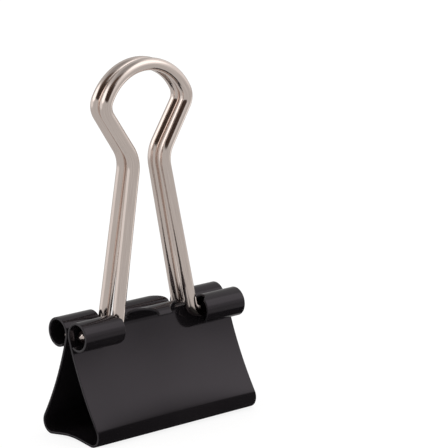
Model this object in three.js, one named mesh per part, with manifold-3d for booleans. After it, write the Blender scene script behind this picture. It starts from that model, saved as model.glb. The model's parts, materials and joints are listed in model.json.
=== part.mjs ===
// A 32 mm binder clip: a bent spring-steel body and two wire handles.
// Millimetres, +Z up, X along the jaws, Y from the front of the clip to its back.
// The origin is under the middle of the base, on the surface that the clip stands on.

import * as THREE from 'three';
import { mergeVertices } from 'three/addons/utils/BufferGeometryUtils.js';
import Module from 'manifold-3d';

const wasm = await Module();
wasm.setup();

// ---- driving dimensions of the sheet body ----
const BODY_WIDTH = 32;
const SHEET = 0.4;
const JAW_GAP = 0.2;
const ROLL_RADIUS = 2.35;
const FLANK_TOP_LEAN = 17;
const FLANK_BOTTOM_LEAN = 32.5;
const FLANK_LENGTH = 14.9;
const CORNER_RADIUS = 1.9;
const BASE_SLOPE = 7.8;
const BASE_CROWN_RADIUS = 16;
const FLEX_ANGLE = -35;
const FLEX_GAP = 0.3;

// ---- the top edge: angles run round the roll, 0 at the jaw and 90 on top ----
const NOTCH_ANGLE = 20;
const ROLL_END_ANGLE = 300;
const LIP_END_ANGLE = 150;
const BARREL_INNER_END = 8.25;
const BARREL_SLOT_END = 9.1;
const BARREL_FREE_EDGE_END = 10.2;
const LIP_HALF_WIDTH = 4.9;
const LIP_CROWN_HALF_WIDTH = 3.5;
const LIP_EDGE_HALF_WIDTH = 1.3;

// ---- the curves of the cut edges, as angles round the roll and offsets along X ----
const SLOT_STRAIGHT_ANGLE = 105;
const SLOT_CURVE_ANGLE = 122;
const SLOT_FRONT_ANGLE = 127;
const SLOT_EXIT_ANGLE = 135;
const SLOT_CORNER = 0.3;
const SLOT_FLOOR = 0.5;
const UNDERCUT_ANGLE = 215;
const UNDERCUT_CURVE_ANGLE = 255;
const UNDERCUT_CEILING = 0.2;
const LIP_STRAIGHT_ANGLE = 40;
const LIP_SHOULDER_ANGLE = 80;
const LIP_CROWN_ANGLE = 92;
const LIP_FLARE_ANGLE = 115;
const LIP_SHOULDER = 0.2;
const LIP_FLARE = 1;
const CUT_MARGIN = 1;

// ---- driving dimensions of a wire handle, along the middle of its wire ----
const WIRE_RADIUS = 1;
const WIRE_SIDES = 12;
const FOOT_FROM_MIDPLANE = 1.7;
const FOOT_BELOW_ROLL_AXIS = 0.3;
const FOOT_END = 15;
const FOOT_BEND_RADIUS = 1.6;
const LEG_FOOT_HALF_GAP = 7.6;
const NECK_HALF_GAP = 2.82;
const NECK_HEIGHT = 26;
const NECK_BEND_RADIUS = 5;
const HEAD_LEAN = 32.8;
const HEAD_HALF_WIDTH = 7.95;
const HEAD_CORNER_RADIUS = 2.5;
const HANDLE_HEIGHT = 40.5;
const HANDLE_LEAN = 0.9;

const ENAMEL = { color: 0x0d0c0d, roughness: 0.35, metalness: 0.0 };
const NICKEL = { color: 0xc9c1b8, roughness: 0.22, metalness: 1.0 };

const WELD = 1e-5;

const radians = THREE.MathUtils.degToRad;

// ---- the body's profile ----
// It is drawn in the half plane (w, z), w being the distance out from the clip's middle plane.
// Every point has a normal angle a: its normal (cos a, sin a) points out of the clip.

const SHEET_ROLL = ROLL_RADIUS - SHEET / 2;
const SHEET_CORNER = CORNER_RADIUS - SHEET / 2;
const FLANK_BEND = FLANK_LENGTH / radians(FLANK_BOTTOM_LEAN - FLANK_TOP_LEAN);

function outwards(angle) {
  return new THREE.Vector2(Math.cos(radians(angle)), Math.sin(radians(angle)));
}

// The corner's lowest facet lies flat on z = 0, so its centre is a little under one radius up.
const rollCentre = new THREE.Vector2(JAW_GAP / 2 + ROLL_RADIUS, 0);
const flankCentre = rollCentre.clone()
  .addScaledVector(outwards(FLANK_TOP_LEAN), FLANK_BEND - SHEET_ROLL);
const cornerCentre = flankCentre.clone()
  .addScaledVector(outwards(FLANK_BOTTOM_LEAN), -FLANK_BEND - SHEET_CORNER);
const lift = CORNER_RADIUS * Math.cos(radians(BASE_SLOPE)) - cornerCentre.y;
for (const centre of [rollCentre, flankCentre, cornerCentre]) {
  centre.y += lift;
}

// Points along an arc of the sheet. A hollow arc has its centre outside the clip.
function arcOfSheet(centre, radius, hollow, from, to, steps) {
  const points = [];
  for (let i = 0; i <= steps; i += 1) {
    const angle = from + ((to - from) * i) / steps;
    const normal = outwards(angle);
    points.push({ at: centre.clone().addScaledVector(normal, hollow ? -radius : radius), normal });
  }
  return points;
}

// Part of the rolled top edge, between two angles round the roll.
function rollPoints(from, to) {
  return arcOfSheet(rollCentre, SHEET_ROLL, true, -from, -to, Math.round(Math.abs(to - from) / 10));
}

const flexHalfAngle = THREE.MathUtils.radToDeg(FLEX_GAP / 2 / SHEET_CORNER);

// Half of the base, from the middle to the flexure in its bottom corner.
function basePoints() {
  const flatTo = -90 + BASE_SLOPE;
  const flexFrom = FLEX_ANGLE - flexHalfAngle;
  const cornerStart = arcOfSheet(cornerCentre, SHEET_CORNER, false, -90 - BASE_SLOPE, flatTo, 1);
  const cornerRest = arcOfSheet(cornerCentre, SHEET_CORNER, false, flatTo, flexFrom, 4);
  const edge = cornerStart[0].at;
  const slopeEnd = BASE_CROWN_RADIUS * Math.sin(radians(BASE_SLOPE));
  const crownEdgeHeight = edge.y + (edge.x - slopeEnd) * Math.tan(radians(BASE_SLOPE));
  const crownDrop = BASE_CROWN_RADIUS * Math.cos(radians(BASE_SLOPE));
  const crownCentre = new THREE.Vector2(0, crownEdgeHeight - crownDrop);
  const crown = arcOfSheet(crownCentre, BASE_CROWN_RADIUS, true, -90, -90 - BASE_SLOPE, 3);
  return [...crown, ...cornerStart, ...cornerRest.slice(1)];
}

// The flank, from the flexure up to the bottom of the notches beside the jaw.
function flankPoints() {
  const flexTo = FLEX_ANGLE + flexHalfAngle;
  const corner = arcOfSheet(cornerCentre, SHEET_CORNER, false, flexTo, FLANK_BOTTOM_LEAN, 5);
  const flank = arcOfSheet(flankCentre, FLANK_BEND, true, FLANK_BOTTOM_LEAN, FLANK_TOP_LEAN, 6);
  const foot = rollPoints(-FLANK_TOP_LEAN, 0);
  return [...corner, ...flank.slice(1), ...foot.slice(1), ...rollPoints(0, NOTCH_ANGLE).slice(1)];
}

// ---- solids ----

function toSolid(geometry) {
  const plain = geometry.clone();
  plain.deleteAttribute('normal');
  plain.deleteAttribute('uv');
  const merged = mergeVertices(plain, WELD);
  const vertProperties = new Float32Array(merged.attributes.position.array);
  const triVerts = new Uint32Array(merged.index.array);
  return new wasm.Manifold(new wasm.Mesh({ numProp: 3, vertProperties, triVerts }));
}

function toGeometry(solid) {
  const mesh = solid.getMesh();
  const geometry = new THREE.BufferGeometry();
  geometry.setAttribute('position', new THREE.BufferAttribute(mesh.vertProperties, 3));
  geometry.setIndex(new THREE.BufferAttribute(mesh.triVerts, 1));
  geometry.computeVertexNormals();
  return geometry;
}

// Turns an extrusion of a (w, z) outline so that w lies along +Y and the extrusion along +X.
const ALONG_X = new THREE.Matrix4().makeBasis(
  new THREE.Vector3(0, 1, 0),
  new THREE.Vector3(0, 0, 1),
  new THREE.Vector3(1, 0, 0),
);

// The sheet over one stretch of the profile, between two places along X.
function sheetSolid(points, xFrom, xTo) {
  const inner = points.map(({ at, normal }) => at.clone().addScaledVector(normal, -SHEET / 2));
  const outer = points.map(({ at, normal }) => at.clone().addScaledVector(normal, SHEET / 2));
  const shape = new THREE.Shape([...outer, ...inner.reverse()]);
  const geometry = new THREE.ExtrudeGeometry(shape, { depth: xTo - xFrom, bevelEnabled: false });
  geometry.applyMatrix4(ALONG_X);
  geometry.translate(xFrom, 0, 0);
  return toSolid(geometry);
}

// An upright cutter: a plan outline in (x, y), from one height to another.
function uprightSolid(shape, zFrom, zTo) {
  const options = { depth: zTo - zFrom, bevelEnabled: false, curveSegments: 8 };
  const geometry = new THREE.ExtrudeGeometry(shape, options);
  geometry.translate(0, 0, zFrom);
  return toSolid(geometry);
}

// How far out the middle of the sheet is at an angle round the roll.
function rollReach(angle) {
  return rollCentre.x - SHEET_ROLL * Math.cos(radians(angle));
}

const rollTop = rollCentre.y + ROLL_RADIUS;
const rollBottom = rollCentre.y - ROLL_RADIUS;
const rollFront = rollCentre.x + ROLL_RADIUS;

// One rolled barrel, on the side of the clip given by 1 or -1. Its inner end is a tongue:
// a slot in its top lets the leg stand up, and its lower corner is cut back towards the
// roll's free edge.
function barrelSolid(side) {
  const ends = [side * BARREL_INNER_END, (side * BODY_WIDTH) / 2].sort((a, b) => a - b);
  const roll = sheetSolid(rollPoints(0, ROLL_END_ANGLE), ...ends);
  const inside = side * (BARREL_INNER_END - CUT_MARGIN);
  const slotEnd = side * BARREL_SLOT_END;
  const tongueEnd = side * BARREL_INNER_END;
  const freeEdgeEnd = side * BARREL_FREE_EDGE_END;
  const slot = new THREE.Shape();
  slot.moveTo(inside, -CUT_MARGIN);
  slot.lineTo(slotEnd, -CUT_MARGIN);
  slot.lineTo(slotEnd, rollReach(SLOT_STRAIGHT_ANGLE));
  slot.quadraticCurveTo(
    slotEnd,
    rollReach(SLOT_CURVE_ANGLE),
    tongueEnd + side * SLOT_CORNER,
    rollReach(SLOT_FRONT_ANGLE),
  );
  slot.lineTo(inside, rollReach(SLOT_EXIT_ANGLE));
  const undercut = new THREE.Shape();
  undercut.moveTo(inside, -CUT_MARGIN);
  undercut.lineTo(freeEdgeEnd, -CUT_MARGIN);
  undercut.lineTo(freeEdgeEnd, rollReach(ROLL_END_ANGLE));
  undercut.quadraticCurveTo(
    tongueEnd,
    rollReach(UNDERCUT_CURVE_ANGLE),
    tongueEnd,
    rollReach(UNDERCUT_ANGLE),
  );
  undercut.lineTo(inside, rollReach(UNDERCUT_ANGLE));
  return roll
    .subtract(uprightSolid(slot, rollCentre.y + SLOT_FLOOR, rollTop + CUT_MARGIN))
    .subtract(uprightSolid(undercut, rollBottom - CUT_MARGIN, rollCentre.y - UNDERCUT_CEILING));
}

// One side of the lip's bell-shaped plan: its corners, and the control points (shoulder and
// flare) of the curves between them.
function lipEdge(side) {
  return {
    jaw: [side * LIP_HALF_WIDTH, -CUT_MARGIN],
    straight: [side * LIP_HALF_WIDTH, rollReach(LIP_STRAIGHT_ANGLE)],
    shoulder: [side * (LIP_HALF_WIDTH - LIP_SHOULDER), rollReach(LIP_SHOULDER_ANGLE)],
    crown: [side * LIP_CROWN_HALF_WIDTH, rollReach(LIP_CROWN_ANGLE)],
    flare: [side * (LIP_EDGE_HALF_WIDTH + LIP_FLARE), rollReach(LIP_FLARE_ANGLE)],
    edge: [side * LIP_EDGE_HALF_WIDTH, rollFront],
  };
}

// The partly curled lip in the middle, bell-shaped in plan.
function lipSolid() {
  const curl = sheetSolid(rollPoints(0, LIP_END_ANGLE), -LIP_HALF_WIDTH, LIP_HALF_WIDTH);
  const left = lipEdge(-1);
  const right = lipEdge(1);
  const bell = new THREE.Shape();
  bell.moveTo(...left.jaw);
  bell.lineTo(...left.straight);
  bell.quadraticCurveTo(...left.shoulder, ...left.crown);
  bell.quadraticCurveTo(...left.flare, ...left.edge);
  bell.lineTo(...right.edge);
  bell.quadraticCurveTo(...right.flare, ...right.crown);
  bell.quadraticCurveTo(...right.shoulder, ...right.straight);
  bell.lineTo(...right.jaw);
  return curl.intersect(uprightSolid(bell, rollBottom - CUT_MARGIN, rollTop + CUT_MARGIN));
}

// A jaw: the flank with its two barrels and the lip between them, opening towards +Y.
function jawGeometry() {
  const jaw = sheetSolid(flankPoints(), -BODY_WIDTH / 2, BODY_WIDTH / 2)
    .add(barrelSolid(-1))
    .add(barrelSolid(1))
    .add(lipSolid());
  return toGeometry(jaw);
}

// The base between the two flexures.
function spineGeometry() {
  const half = basePoints();
  const mirrored = half.slice(1).reverse().map(({ at, normal }) => ({
    at: new THREE.Vector2(-at.x, at.y),
    normal: new THREE.Vector2(-normal.x, normal.y),
  }));
  return toGeometry(sheetSolid([...mirrored, ...half], -BODY_WIDTH / 2, BODY_WIDTH / 2));
}

// ---- the handles ----

// A wire's middle line, read only at its own stations, so that each bend keeps its own step.
class WireLine extends THREE.Curve {
  constructor(stations) {
    super();
    this.stations = stations;
  }

  station(t) {
    return this.stations[Math.round(t * (this.stations.length - 1))];
  }

  getPoint(t, target = new THREE.Vector3()) {
    const { at } = this.station(t);
    return target.set(at.x, 0, at.y);
  }

  getTangent(t, target = new THREE.Vector3()) {
    const { along } = this.station(t);
    return target.set(along.x, 0, along.y);
  }

  getUtoTmapping(u) {
    return u;
  }
}

// Stations round a bend. A left bend turns the wire anticlockwise; from and to are headings.
function bend(centre, radius, from, to, steps) {
  const left = to > from;
  const stations = [];
  for (let i = 0; i <= steps; i += 1) {
    const along = outwards(from + ((to - from) * i) / steps);
    const side = new THREE.Vector2(along.y, -along.x).multiplyScalar(left ? radius : -radius);
    stations.push({ at: centre.clone().add(side), along });
  }
  return stations;
}

// A bend that rounds the corner where two straight stretches would meet.
function roundedCorner(corner, radius, from, to, steps) {
  const turn = radians(Math.abs(to - from)) / 2;
  const start = corner.clone().addScaledVector(outwards(from), -radius * Math.tan(turn));
  const left = to > from;
  const toCentre = outwards(from + (left ? 90 : -90));
  return bend(start.clone().addScaledVector(toCentre, radius), radius, from, to, steps);
}

// Half of a handle: in from the foot's end, up the leg, out round the neck and over the head.
// Headings: 180 is towards the middle along the foot, 90 is straight up.
function handleHalf() {
  const legCorner = new THREE.Vector2(LEG_FOOT_HALF_GAP, 0);
  const neckCorner = new THREE.Vector2(NECK_HALF_GAP, NECK_HEIGHT);
  const legHeading = THREE.MathUtils.radToDeg(neckCorner.clone().sub(legCorner).angle());
  const headHeading = 90 - HEAD_LEAN;
  const cornerX = HEAD_HALF_WIDTH - HEAD_CORNER_RADIUS;
  const headNormal = outwards(headHeading + 90);
  const cornerZ = neckCorner.y
    + (HEAD_CORNER_RADIUS - headNormal.x * (cornerX - neckCorner.x)) / headNormal.y;
  const drop = HANDLE_HEIGHT - cornerZ;
  const topRadius = (cornerX ** 2 + drop ** 2 - HEAD_CORNER_RADIUS ** 2) / (2 * (drop - HEAD_CORNER_RADIUS));
  const topCentre = new THREE.Vector2(0, HANDLE_HEIGHT - topRadius);
  const cornerCentreOfHead = new THREE.Vector2(cornerX, cornerZ);
  const shoulder = THREE.MathUtils.radToDeg(cornerCentreOfHead.clone().sub(topCentre).angle());
  return [
    { at: new THREE.Vector2(FOOT_END, 0), along: outwards(180) },
    ...roundedCorner(legCorner, FOOT_BEND_RADIUS, 180, legHeading, 6),
    ...roundedCorner(neckCorner, NECK_BEND_RADIUS, legHeading, headHeading, 4),
    ...bend(cornerCentreOfHead, HEAD_CORNER_RADIUS, headHeading, shoulder + 90, 6),
    ...bend(topCentre, topRadius, shoulder + 90, 180, 4).slice(1),
  ];
}

function handleGeometry() {
  const right = handleHalf();
  const left = right.slice(0, -1).reverse().map(({ at, along }) => ({
    at: new THREE.Vector2(-at.x, at.y),
    along: new THREE.Vector2(along.x, -along.y),
  }));
  const line = new WireLine([...right, ...left]);
  const section = new THREE.Shape();
  for (let i = 0; i < WIRE_SIDES; i += 1) {
    const point = outwards((360 * i) / WIRE_SIDES).multiplyScalar(WIRE_RADIUS);
    if (i === 0) {
      section.moveTo(point.x, point.y);
    } else {
      section.lineTo(point.x, point.y);
    }
  }
  section.closePath();
  const steps = line.stations.length - 1;
  return toGeometry(toSolid(new THREE.ExtrudeGeometry(section, { steps, extrudePath: line })));
}

// ---- the assembly ----

function enamelled(name, geometry) {
  const mesh = new THREE.Mesh(geometry, new THREE.MeshStandardMaterial(ENAMEL));
  mesh.name = name;
  return mesh;
}

function handle(name, geometry) {
  const mesh = new THREE.Mesh(geometry, new THREE.MeshStandardMaterial(NICKEL));
  mesh.name = name;
  mesh.position.set(0, FOOT_FROM_MIDPLANE, rollCentre.y - FOOT_BELOW_ROLL_AXIS);
  mesh.rotation.x = radians(HANDLE_LEAN);
  return mesh;
}

const clip = new THREE.Group();
clip.add(enamelled('spine', spineGeometry()));

const jawShape = jawGeometry();
const handleShape = handleGeometry();
for (const [side, turn] of [['front', Math.PI], ['rear', 0]]) {
  const half = new THREE.Group();
  half.rotation.z = turn;
  half.add(enamelled(`${side}_jaw`, jawShape));
  half.add(handle(`${side}_handle`, handleShape));
  clip.add(half);
}

export default clip;
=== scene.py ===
import json
import math

import bmesh
import bpy
from mathutils import Matrix, Vector


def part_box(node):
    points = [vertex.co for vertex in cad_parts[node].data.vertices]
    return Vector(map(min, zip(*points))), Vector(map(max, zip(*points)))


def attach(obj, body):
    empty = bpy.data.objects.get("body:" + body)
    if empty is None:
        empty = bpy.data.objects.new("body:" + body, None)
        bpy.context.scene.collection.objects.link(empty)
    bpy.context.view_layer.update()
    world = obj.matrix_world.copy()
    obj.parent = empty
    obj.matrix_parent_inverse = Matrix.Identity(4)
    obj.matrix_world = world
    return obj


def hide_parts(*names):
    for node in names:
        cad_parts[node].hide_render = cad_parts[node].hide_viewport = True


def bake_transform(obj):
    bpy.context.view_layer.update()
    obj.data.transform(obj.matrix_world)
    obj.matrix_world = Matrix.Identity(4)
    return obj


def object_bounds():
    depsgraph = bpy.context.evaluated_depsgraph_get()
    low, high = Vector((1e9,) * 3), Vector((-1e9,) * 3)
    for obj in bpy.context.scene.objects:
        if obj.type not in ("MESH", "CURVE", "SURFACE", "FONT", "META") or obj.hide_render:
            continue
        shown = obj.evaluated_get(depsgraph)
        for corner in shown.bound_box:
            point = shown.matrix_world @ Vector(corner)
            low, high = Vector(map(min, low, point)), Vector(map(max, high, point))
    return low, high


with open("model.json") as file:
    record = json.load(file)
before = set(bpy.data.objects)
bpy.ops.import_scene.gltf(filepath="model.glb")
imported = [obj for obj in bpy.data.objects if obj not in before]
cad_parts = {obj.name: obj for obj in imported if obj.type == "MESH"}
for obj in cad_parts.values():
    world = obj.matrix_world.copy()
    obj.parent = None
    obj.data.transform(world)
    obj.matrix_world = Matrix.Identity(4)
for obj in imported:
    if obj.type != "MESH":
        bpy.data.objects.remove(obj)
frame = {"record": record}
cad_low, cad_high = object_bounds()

# Looks of the binder clip, built round the imported CAD frame.
#
# The sheet body is drawn as two bent halves that meet under the middle of the base. The two handles
# are swept wires. Lengths are in millimetres until a mesh is finished, and in metres from then on.

MM = 0.001

# ---- driving dimensions, in millimetres and degrees ----
SHEET = 0.38
ROLL_RADIUS = 2.35
SHEET_ROLL = 2.15
SHEET_CORNER = 1.7
FLANK_TOP_LEAN = 17
FLANK_BOTTOM_LEAN = 32.5
FLANK_LENGTH = 14.9
BASE_SLOPE = 7.8
BASE_CROWN_RADIUS = 16
NOTCH_ANGLE = 20
ROLL_END_ANGLE = 302
LIP_END_ANGLE = 150
BARREL_INNER_END = 8.27
BARREL_SLOT_END = 9.1
BARREL_FREE_EDGE_END = 10.2
LIP_HALF_WIDTH = 4.85
LIP_EDGE_HALF_WIDTH = 1.3
NOTCH_FILLET = 0.45
NOTCH_FILLET_ANGLE = 13
EDGE_ROUND = 0.09

WIRE_RADIUS = 0.995
WIRE_SIDES = 40
FOOT_END = 15
FOOT_BEND_RADIUS = 1.6
LEG_FOOT_HALF_GAP = 7.6
NECK_HALF_GAP = 2.82
NECK_HEIGHT = 26
NECK_BEND_RADIUS = 5
HEAD_LEAN = 32.8
HEAD_HALF_WIDTH = 7.95
HEAD_CORNER_RADIUS = 2.5
HANDLE_HEIGHT = 40.5
HANDLE_LEAN = 0.9

# ---- places taken from the frame, in millimetres ----
joints = {joint["name"]: joint for joint in frame["record"]["behaviour"]["joints"]}
jaw_low, jaw_high = (Vector(corner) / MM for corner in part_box("rear_jaw"))
foot_axis = Vector(joints["rear_handle_swing"]["pos_m"]) / MM
half_width = jaw_high.x
roll_centre = Vector((jaw_low.y + ROLL_RADIUS, jaw_high.z - ROLL_RADIUS))


def outwards(angle):
    """The unit vector at an angle in degrees."""
    return Vector((math.cos(math.radians(angle)), math.sin(math.radians(angle))))


def smooth(value):
    """0 below 0, 1 above 1, and a smooth rise between."""
    value = min(max(value, 0.0), 1.0)
    return value * value * (3 - 2 * value)


# ---- the sheet's profile ----
# It lies in the half plane (w, z), w being the distance out from the clip's middle plane.
# Each row is (place, outward normal, angle round the roll). The angle is None below the roll.

flank_bend = FLANK_LENGTH / math.radians(FLANK_BOTTOM_LEAN - FLANK_TOP_LEAN)
flank_centre = roll_centre + outwards(FLANK_TOP_LEAN) * (flank_bend - SHEET_ROLL)
corner_centre = flank_centre - outwards(FLANK_BOTTOM_LEAN) * (flank_bend + SHEET_CORNER)


def sheet_arc(centre, radius, start, end, steps, on_roll=False):
    """Rows along an arc. A negative radius is for an arc whose centre is outside the clip."""
    rows = []
    for step in range(steps + 1):
        angle = start + (end - start) * step / steps
        normal = outwards(angle)
        rows.append((centre + normal * radius, normal, -angle if on_roll else None))
    return rows


def profile_rows():
    """Rows from the middle of the base to the free edge of the roll."""
    corner = sheet_arc(corner_centre, SHEET_CORNER, -90 - BASE_SLOPE, FLANK_BOTTOM_LEAN, 36)
    edge = corner[0][0]
    crown_edge = BASE_CROWN_RADIUS * math.sin(math.radians(BASE_SLOPE))
    crown_height = edge.y + (edge.x - crown_edge) * math.tan(math.radians(BASE_SLOPE))
    crown_centre = Vector((0, crown_height - BASE_CROWN_RADIUS * math.cos(math.radians(BASE_SLOPE))))
    crown = sheet_arc(crown_centre, -BASE_CROWN_RADIUS, -90, -90 - BASE_SLOPE, 6)
    slope = [
        (crown[-1][0].lerp(edge, step / 5), corner[0][1], None)
        for step in range(1, 5)
    ]
    flank = sheet_arc(flank_centre, -flank_bend, FLANK_BOTTOM_LEAN, FLANK_TOP_LEAN, 30)[1:]
    throat = sheet_arc(roll_centre, -SHEET_ROLL, FLANK_TOP_LEAN, 0, 4, on_roll=True)[1:]
    turns = list(range(4, NOTCH_ANGLE + 1, 4)) + list(range(NOTCH_ANGLE + 2, ROLL_END_ANGLE - 5, 4))
    turns += [ROLL_END_ANGLE - 5, ROLL_END_ANGLE]
    roll = [row for turn in turns for row in sheet_arc(roll_centre, -SHEET_ROLL, -turn, -turn, 1, True)[:1]]
    return crown + slope + corner + flank + throat + roll


def notch_fillet(angle):
    """How far a notch's rounded bottom corner reaches into the notch, at an angle round the roll."""
    rise = (angle - NOTCH_ANGLE) / NOTCH_FILLET_ANGLE
    if rise >= 1:
        return 0.0
    return NOTCH_FILLET * (1 - math.sqrt(1 - (1 - rise) ** 2))


def barrel_inner_end(angle):
    """Where a barrel's inner end is: slotted on top, a tongue in front, cut back below."""
    tongue = smooth((angle - 106) / 24)
    undercut = max(0.0, (angle - 210) / 90) ** 1.7
    end = BARREL_SLOT_END + (BARREL_INNER_END - BARREL_SLOT_END) * tongue
    return end + (BARREL_FREE_EDGE_END - BARREL_INNER_END) * undercut - notch_fillet(angle)


def lip_half_width(angle):
    """Half the lip's width at an angle round the roll."""
    narrowing = smooth((angle - 48) / 92)
    return LIP_HALF_WIDTH + (LIP_EDGE_HALF_WIDTH - LIP_HALF_WIDTH) * narrowing + notch_fillet(angle)


EDGE_STEPS = (0.0, 0.025, 0.09, 0.18, 0.28, 0.39, 0.5, 0.61, 0.72, 0.82, 0.91, 0.975, 1.0)


def columns(angle):
    """Places along X of one row: (x, zone), the zone being that of the cell on its right."""
    turn = NOTCH_ANGLE if angle is None or angle < NOTCH_ANGLE else angle
    inner, lip = barrel_inner_end(turn), lip_half_width(turn)
    places = []
    stretches = (
        (-half_width, -inner, "barrel"),
        (-inner, -lip, "notch"),
        (-lip, lip, "lip"),
        (lip, inner, "notch"),
        (inner, half_width, "barrel"),
    )
    for start, end, zone in stretches:
        for step in EDGE_STEPS[:-1]:
            places.append((start + (end - start) * step, zone))
    return places + [(half_width, "end")]


def is_sheet(zone, angle):
    """Whether the sheet fills a cell of this zone that ends at this angle round the roll."""
    if angle is None or angle <= NOTCH_ANGLE:
        return True
    return zone == "barrel" or (zone == "lip" and angle <= LIP_END_ANGLE)


def sheet_half(name, turn, materials):
    """One bent half of the body, opening towards +Y, then turned about Z by an angle in degrees."""
    rows = profile_rows()
    grid = [columns(angle) for _, _, angle in rows]
    bm = bmesh.new()
    skins = []
    for side in (1, -1):
        skin = {}
        for i, (at, normal, _) in enumerate(rows):
            place = at + normal * (side * SHEET / 2)
            for j, (x, _) in enumerate(grid[i]):
                skin[i, j] = bm.verts.new((x, place.x, max(place.y, 0.0)))
        skins.append(skin)
    outer, inner = skins
    cells = [
        (i, j)
        for i in range(len(rows) - 1)
        for j in range(len(grid[0]) - 1)
        if is_sheet(grid[i][j][1], rows[i + 1][2])
    ]
    filled = set(cells)
    for i, j in cells:
        bm.faces.new((outer[i, j], outer[i, j + 1], outer[i + 1, j + 1], outer[i + 1, j]))
        bm.faces.new((inner[i, j], inner[i + 1, j], inner[i + 1, j + 1], inner[i, j + 1]))
    for i, j in cells:
        borders = (
            ((i - 1, j), (i, j + 1), (i, j)),
            ((i + 1, j), (i + 1, j), (i + 1, j + 1)),
            ((i, j - 1), (i, j), (i + 1, j)),
            ((i, j + 1), (i + 1, j + 1), (i, j + 1)),
        )
        for neighbour, start, end in borders:
            if neighbour not in filled:
                rim = bm.faces.new((outer[start], outer[end], inner[end], inner[start]))
                rim.material_index = 1
    bmesh.ops.delete(bm, geom=[v for v in bm.verts if not v.link_faces], context="VERTS")
    bmesh.ops.recalc_face_normals(bm, faces=bm.faces)
    edges = [
        edge
        for edge in bm.edges
        if len({face.material_index for face in edge.link_faces}) == 2
        and not all(abs(vert.co.y) < 0.01 for vert in edge.verts)
    ]
    bmesh.ops.bevel(
        bm, geom=edges, offset=EDGE_ROUND, segments=3, profile=0.5, affect="EDGES", material=1
    )
    bmesh.ops.rotate(bm, verts=bm.verts, matrix=Matrix.Rotation(math.radians(turn), 3, "Z"))
    return finished(name, bm, materials)


def finished(name, bm, materials):
    """Turns a bmesh in millimetres into a smooth object in metres."""
    bmesh.ops.scale(bm, verts=bm.verts, vec=(MM, MM, MM))
    for face in bm.faces:
        face.smooth = True
    mesh = bpy.data.meshes.new(name)
    bm.to_mesh(mesh)
    bm.free()
    for material in materials:
        mesh.materials.append(material)
    piece = bpy.data.objects.new(name, mesh)
    bpy.context.scene.collection.objects.link(piece)
    return piece


# ---- the wire handles ----

def bend(centre, radius, start, end, step=4):
    """Stations (place, heading) round a bend, from one heading to another, in degrees."""
    count = max(2, round(abs(end - start) / step))
    hand = 1 if end > start else -1
    stations = []
    for index in range(count + 1):
        along = outwards(start + (end - start) * index / count)
        stations.append((centre + Vector((along.y, -along.x)) * (hand * radius), along))
    return stations


def rounded_corner(corner, radius, start, end):
    """A bend that rounds the corner between two straight stretches."""
    hand = 1 if end > start else -1
    reach = radius * math.tan(math.radians(abs(end - start)) / 2)
    centre = corner - outwards(start) * reach + outwards(start + 90 * hand) * radius
    return bend(centre, radius, start, end)


def heading(vector):
    """The angle of a vector, in degrees."""
    return math.degrees(math.atan2(vector.y, vector.x))


def straights_filled(stations, longest=1.5):
    """Adds stations along the straight stretches, so that no step is longer than longest."""
    filled = [stations[0]]
    for at, along in stations[1:]:
        last, last_along = filled[-1]
        count = math.ceil((at - last).length / longest)
        for index in range(1, count):
            part = index / count
            filled.append((last.lerp(at, part), last_along.lerp(along, part).normalized()))
        filled.append((at, along))
    return filled


def handle_line():
    """Stations of a whole handle, from its right foot to its left foot, in its own plane."""
    leg_corner = Vector((LEG_FOOT_HALF_GAP, 0))
    neck_corner = Vector((NECK_HALF_GAP, NECK_HEIGHT))
    leg_heading = heading(neck_corner - leg_corner)
    head_heading = 90 - HEAD_LEAN
    corner_x = HEAD_HALF_WIDTH - HEAD_CORNER_RADIUS
    normal = outwards(head_heading + 90)
    corner_z = neck_corner.y + (HEAD_CORNER_RADIUS - normal.x * (corner_x - neck_corner.x)) / normal.y
    drop = HANDLE_HEIGHT - corner_z
    top_radius = (corner_x**2 + drop**2 - HEAD_CORNER_RADIUS**2) / (2 * (drop - HEAD_CORNER_RADIUS))
    top_centre = Vector((0, HANDLE_HEIGHT - top_radius))
    corner = Vector((corner_x, corner_z))
    shoulder = heading(corner - top_centre)
    right = [(Vector((FOOT_END, 0)), outwards(180))]
    right += rounded_corner(leg_corner, FOOT_BEND_RADIUS, 180, leg_heading)
    right += rounded_corner(neck_corner, NECK_BEND_RADIUS, leg_heading, head_heading)
    right += bend(corner, HEAD_CORNER_RADIUS, head_heading, shoulder + 90)
    right += bend(top_centre, top_radius, shoulder + 90, 180)[1:]
    right = straights_filled(right)
    left = [(Vector((-at.x, at.y)), Vector((along.x, -along.y))) for at, along in reversed(right[:-1])]
    return right + left


# The cut end of a wire: distance from the tip, then its thickness and width as parts of the wire's.
END_CUT = ((0.0, 0.0, 0.0), (0.03, 0.12, 0.8), (0.5, 0.96, 0.99), (0.64, 1.0, 1.0))
# The turn of the cut about each end of the wire, in degrees: at the right end, then at the left.
CUT_TURNS = (-30, 40)


def turned(vector, angle):
    """The vector turned by an angle in degrees."""
    side = Vector((-vector.y, vector.x))
    return vector * math.cos(math.radians(angle)) + side * math.sin(math.radians(angle))


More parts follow.
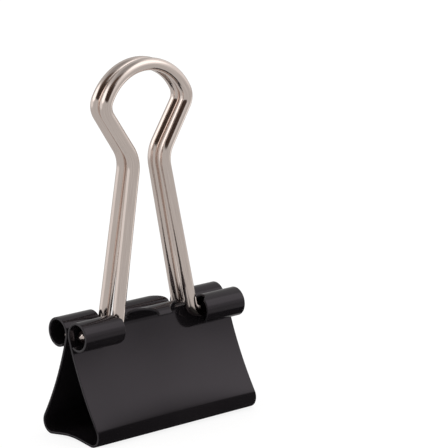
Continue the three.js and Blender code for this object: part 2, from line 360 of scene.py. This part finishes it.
def handle_piece(name, turn, material):
    """A handle standing on its foot axis, turned about Z by an angle in degrees."""
    line = handle_line()
    first, last = line[0], line[-1]
    start_cap = [(first[0] + first[1] * depth, first[1], thin, wide) for depth, thin, wide in END_CUT]
    end_cap = [(last[0] - last[1] * depth, last[1], thin, wide) for depth, thin, wide in reversed(END_CUT)]
    rings = start_cap + [(at, along, 1.0, 1.0) for at, along in line[1:-1]] + end_cap
    bm = bmesh.new()
    uv = bm.loops.layers.uv.new("wire")
    loops, lengths, travelled, before = [], [], 0.0, rings[0][0]
    for at, along, thin, wide in rings:
        turn_of_cut = CUT_TURNS[at.x < 0]
        travelled += (at - before).length
        before = at
        lengths.append(travelled)
        side = Vector((along.y, -along.x))
        ring = []
        for index in range(WIRE_SIDES):
            around = outwards(360 * index / WIRE_SIDES - turn_of_cut) * WIRE_RADIUS
            around = turned(Vector((around.x * thin, around.y * wide)), turn_of_cut)
            ring.append(bm.verts.new((at.x + side.x * around.x, around.y, at.y + side.y * around.x)))
        loops.append(ring)
    for row in range(len(loops) - 1):
        for index in range(WIRE_SIDES):
            after = (index + 1) % WIRE_SIDES
            face = bm.faces.new(
                (loops[row][index], loops[row][after], loops[row + 1][after], loops[row + 1][index])
            )
            corners = ((index, row), (index + 1, row), (index + 1, row + 1), (index, row + 1))
            for loop, (column, station) in zip(face.loops, corners):
                loop[uv].uv = (column / WIRE_SIDES, lengths[station] * MM)
    bmesh.ops.remove_doubles(bm, verts=loops[0] + loops[-1], dist=0.001)
    bmesh.ops.dissolve_degenerate(bm, dist=0.0005, edges=bm.edges)
    bmesh.ops.recalc_face_normals(bm, faces=bm.faces)
    lean = Matrix.Rotation(math.radians(HANDLE_LEAN), 4, "X")
    place = Matrix.Translation((0, foot_axis.y, foot_axis.z)) @ lean
    bmesh.ops.transform(bm, verts=bm.verts, matrix=Matrix.Rotation(math.radians(turn), 4, "Z") @ place)
    return finished(name, bm, [material])


# ---- materials ----

def new_material(name):
    """A material with nodes, its tree and its Principled shader."""
    material = bpy.data.materials.new(name)
    material.use_nodes = True
    tree = material.node_tree
    return material, tree, tree.nodes["Principled BSDF"]


def noise(tree, vector, scale, detail=3.0, stretch=(1, 1, 1)):
    """A noise texture on a stretched coordinate."""
    mapping = tree.nodes.new("ShaderNodeMapping")
    mapping.inputs["Scale"].default_value = stretch
    tree.links.new(vector, mapping.inputs["Vector"])
    texture = tree.nodes.new("ShaderNodeTexNoise")
    texture.inputs["Scale"].default_value = scale
    texture.inputs["Detail"].default_value = detail
    tree.links.new(mapping.outputs["Vector"], texture.inputs["Vector"])
    return texture.outputs["Fac"]


def spread(tree, value, low, high):
    """Maps a noise value onto the range from low to high."""
    node = tree.nodes.new("ShaderNodeMapRange")
    node.inputs["From Min"].default_value = 0.3
    node.inputs["From Max"].default_value = 0.7
    node.inputs["To Min"].default_value = low
    node.inputs["To Max"].default_value = high
    tree.links.new(value, node.inputs["Value"])
    return node.outputs["Result"]


def tint(tree, value, dark, light):
    """Mixes two colours by a noise value."""
    ramp = tree.nodes.new("ShaderNodeValToRGB")
    ramp.color_ramp.elements[0].position = 0.35
    ramp.color_ramp.elements[0].color = (*dark, 1)
    ramp.color_ramp.elements[1].position = 0.65
    ramp.color_ramp.elements[1].color = (*light, 1)
    tree.links.new(value, ramp.inputs["Fac"])
    return ramp.outputs["Color"]


def bumps(tree, shader, heights):
    """Chains bumps, given as (height, strength, distance in metres), into the shader's normal."""
    normal = None
    for height, strength, distance in heights:
        bump = tree.nodes.new("ShaderNodeBump")
        bump.inputs["Strength"].default_value = strength
        bump.inputs["Distance"].default_value = distance
        tree.links.new(height, bump.inputs["Height"])
        if normal is not None:
            tree.links.new(normal, bump.inputs["Normal"])
        normal = bump.outputs["Normal"]
    tree.links.new(normal, shader.inputs["Normal"])


def enamel_material(name, dark, light, roughness):
    """Black stove enamel: nearly smooth, with faint orange peel and an uneven gloss."""
    material, tree, shader = new_material(name)
    place = tree.nodes.new("ShaderNodeTexCoord").outputs["Object"]
    cloud = noise(tree, place, 90, 2)
    peel = noise(tree, place, 1500, 2)
    grain = noise(tree, place, 7000, 3)
    tree.links.new(tint(tree, cloud, dark, light), shader.inputs["Base Color"])
    tree.links.new(spread(tree, cloud, *roughness), shader.inputs["Roughness"])
    tree.links.new(spread(tree, noise(tree, place, 55, 1), 0.43, 0.54), shader.inputs["Specular IOR Level"])
    shader.inputs["IOR"].default_value = 1.39
    shader.inputs["Specular Tint"].default_value = (1.0, 0.9, 1.0, 1)
    bumps(tree, shader, [(peel, 0.12, 0.00001), (grain, 0.1, 0.000002)])
    return material


def nickel_material():
    """Bright nickel plating over drawn wire: faint lines along the wire and a soft unevenness."""
    material, tree, shader = new_material("nickel")
    place = tree.nodes.new("ShaderNodeTexCoord")
    shader.inputs["Metallic"].default_value = 1.0
    cloud = noise(tree, place.outputs["Object"], 260, 3)
    lines = noise(tree, place.outputs["UV"], 60, 4, (6, 40, 1))
    pits = noise(tree, place.outputs["Object"], 5200, 2)
    streaks = noise(tree, place.outputs["UV"], 22, 3, (5, 9, 1))
    plating = tint(tree, streaks, (0.71, 0.62, 0.575), (0.84, 0.74, 0.685))
    tree.links.new(plating, shader.inputs["Base Color"])
    tree.links.new(spread(tree, cloud, 0.09, 0.15), shader.inputs["Roughness"])
    bumps(tree, shader, [(lines, 0.2, 0.00001), (pits, 0.12, 0.000005)])
    return material


# ---- the clip ----

enamel = enamel_material("enamel", (0.006, 0.0052, 0.006), (0.009, 0.0078, 0.0088), (0.07, 0.12))
enamel_edge = enamel_material("enamel edge", (0.014, 0.013, 0.014), (0.028, 0.026, 0.028), (0.2, 0.3))
nickel = nickel_material()

for side, turn in (("front", 180), ("rear", 0)):
    body = sheet_half(f"{side}_half_of_body", turn, [enamel, enamel_edge])
    if side == "front":
        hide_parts("front_jaw", "spine")
    else:
        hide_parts("rear_jaw")
    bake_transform(body)
    handle = handle_piece(f"{side}_wire_handle", turn, nickel)
    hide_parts(f"{side}_handle")
    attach(handle, f"{side}_handle")


# ---- the stage ----

def direction(azimuth, elevation):
    """The unit vector at an azimuth, turned from +Y towards +X, and an elevation, in degrees."""
    azimuth, elevation = math.radians(azimuth), math.radians(elevation)
    return Vector((
        math.sin(azimuth) * math.cos(elevation),
        math.cos(azimuth) * math.cos(elevation),
        math.sin(elevation),
    ))


def card(name, centre, normal, width, height, glow, core=None, colour=(1, 1, 1)):
    """A flat card facing along its normal, which glows and is hidden from the camera.

    With a core, from 0 to 1, the card is an ellipse that fades out from its core to its rim.
    """
    mesh = bpy.data.meshes.new(name)
    x, y = width / 2, height / 2
    mesh.from_pydata([(-x, -y, 0), (x, -y, 0), (x, y, 0), (-x, y, 0)], [], [(0, 1, 2, 3)])
    piece = bpy.data.objects.new(name, mesh)
    bpy.context.scene.collection.objects.link(piece)
    piece.location = centre
    piece.rotation_euler = normal.to_track_quat("Z", "Y").to_euler()
    material, tree, shader = new_material(name)
    shader.inputs["Base Color"].default_value = (0, 0, 0, 1)
    shader.inputs["Roughness"].default_value = 1.0
    shader.inputs["Specular IOR Level"].default_value = 0.0
    shader.inputs["Emission Color"].default_value = (*colour, 1)
    shader.inputs["Emission Strength"].default_value = glow
    if core is not None:
        place = tree.nodes.new("ShaderNodeTexCoord").outputs["Object"]
        mapping = tree.nodes.new("ShaderNodeMapping")
        mapping.inputs["Scale"].default_value = (1 / x, 1 / y, 1)
        tree.links.new(place, mapping.inputs["Vector"])
        reach = tree.nodes.new("ShaderNodeVectorMath")
        reach.operation = "LENGTH"
        tree.links.new(mapping.outputs["Vector"], reach.inputs[0])
        fade = tree.nodes.new("ShaderNodeMapRange")
        fade.interpolation_type = "SMOOTHSTEP"
        fade.inputs["From Min"].default_value = core
        fade.inputs["From Max"].default_value = 1.0
        fade.inputs["To Min"].default_value = 1.0
        fade.inputs["To Max"].default_value = 0.0
        tree.links.new(reach.outputs["Value"], fade.inputs["Value"])
        tree.links.new(fade.outputs["Result"], shader.inputs["Alpha"])
    mesh.materials.append(material)
    piece.visible_camera = False
    piece.visible_shadow = False
    return piece


STUDIO_RADIUS = 0.8
WHITE = (1.0, 0.985, 0.975)
BROWN = (1.0, 0.68, 0.52)
STUDIO_CARDS = (
    # name, azimuth, elevation, tilt, width and height in degrees, glow, core, colour
    ("dark flag", -142, 35, 22, 86, 40, 0.05, 0.6, BROWN),
    ("upper flag", -130, 60, 0, 74, 38, 0.1, 0.4, BROWN),
    ("right softbox", 134, 38, 0, 66, 54, 1.55, 0.4, WHITE),
    ("left softbox", -60, 33, 0, 78, 50, 1.5, 0.4, WHITE),
    ("left wall", -42, 4, 0, 84, 36, 0.85, 0.5, WHITE),
    ("right wall", 120, 32, 0, 130, 80, 0.85, 0.5, WHITE),
    ("ceiling", 0, 90, 0, 70, 70, 0.33, 0.4, WHITE),
    ("low right card", 98, -22, 0, 44, 34, 1.1, 0.4, WHITE),
)

centre = (cad_low + cad_high) / 2
for index, (name, azimuth, elevation, tilt, width, height, glow, core, colour) in enumerate(STUDIO_CARDS):
    away = direction(azimuth, elevation)
    distance = STUDIO_RADIUS * (1 + 0.05 * index)
    size = [2 * distance * math.tan(math.radians(angle) / 2) for angle in (width, height)]
    piece = card(name, centre + away * distance, -away, *size, glow, core, colour)
    piece.rotation_euler.rotate_axis("Z", math.radians(tilt))

# Dark cards close to the clip, in millimetres: painted shade. They stand in for the shade round the clip's
# base, darkening what the flank and its bottom bend reflect. Only reflections show them.
SHADE_CARD_GLOW = 0.02
SHADE_MAT_DEPTH = 24
SHADE_MATS = (("front painted shade mat", -1, -17, 40), ("rear painted shade mat", 1, -24, 17))
SHADE_WALL_PLACE = (7, -14.5, 0)
SHADE_WALL_WIDTH = 64
SHADE_WALL_HEIGHT = 27
SHADE_WALL_CORE = 0.62

# Mats of painted shade on the floor round the clip: they darken what the bottom bend reflects.
for name, side, low_x, high_x in SHADE_MATS:
    middle = Vector(((low_x + high_x) / 2, side * SHADE_MAT_DEPTH / 2, -0.01)) * MM
    mat = card(name, middle, Vector((0, 0, 1)), (high_x - low_x) * MM, SHADE_MAT_DEPTH * MM, SHADE_CARD_GLOW)
    mat.visible_diffuse = False
# A wall of painted shade in front of the clip: it darkens what the lower flank reflects.
shade_wall_size = (SHADE_WALL_WIDTH * MM, SHADE_WALL_HEIGHT * MM)
shade_wall = card("painted shade wall", Vector(SHADE_WALL_PLACE) * MM, Vector((0, 1, 0)), *shade_wall_size, SHADE_CARD_GLOW, SHADE_WALL_CORE)
shade_wall.visible_diffuse = False

floor = card("floor", (0, 0, cad_low.z - 0.00002), Vector((0, 0, 1)), 6, 6, 0.86)
floor.visible_camera = True
floor.visible_glossy = False
floor_shader = floor.data.materials[0].node_tree.nodes["Principled BSDF"]
floor_shader.inputs["Base Color"].default_value = (0.18, 0.18, 0.18, 1)

world = bpy.data.worlds.new("studio")
bpy.context.scene.world = world
world.use_nodes = True
sky = world.node_tree.nodes["Background"]
sky.inputs["Color"].default_value = (1.0, 0.985, 0.97, 1)
sky.inputs["Strength"].default_value = 0.54

key_data = bpy.data.lights.new("top light", "SUN")
key_data.energy = 2.0
key_data.angle = math.radians(100)
key = bpy.data.objects.new("top light", key_data)
key.visible_glossy = False
bpy.context.scene.collection.objects.link(key)

# ---- the camera ----
CAMERA_AZIMUTH = -38.495
CAMERA_ELEVATION = 13.086
CAMERA_DISTANCE = 0.42893
CAMERA_AIM = (0.01226, 0.00228)
CAMERA_ROLL = 1.322
CAMERA_LENS = 220.6

camera_data = bpy.data.cameras.new("camera")
camera_data.lens = CAMERA_LENS
camera_data.sensor_width = 36
camera_data.clip_start = 0.01
camera_data.clip_end = 20
camera = bpy.data.objects.new("camera", camera_data)
bpy.context.scene.collection.objects.link(camera)
azimuth, elevation = math.radians(CAMERA_AZIMUTH), math.radians(CAMERA_ELEVATION)
back = Vector((
    math.sin(azimuth) * math.cos(elevation),
    -math.cos(azimuth) * math.cos(elevation),
    math.sin(elevation),
))
right = Vector((math.cos(azimuth), math.sin(azimuth), 0))
up = back.cross(right)
aim = centre + right * CAMERA_AIM[0] + up * CAMERA_AIM[1]
camera.location = centre + back * CAMERA_DISTANCE
look = (aim - camera.location).to_track_quat("-Z", "Y").to_matrix().to_4x4()
camera.matrix_world = (
    Matrix.Translation(camera.location) @ look @ Matrix.Rotation(math.radians(-CAMERA_ROLL), 4, "Z")
)
bpy.context.scene.camera = camera
bpy.context.scene.view_settings.view_transform = "Standard"
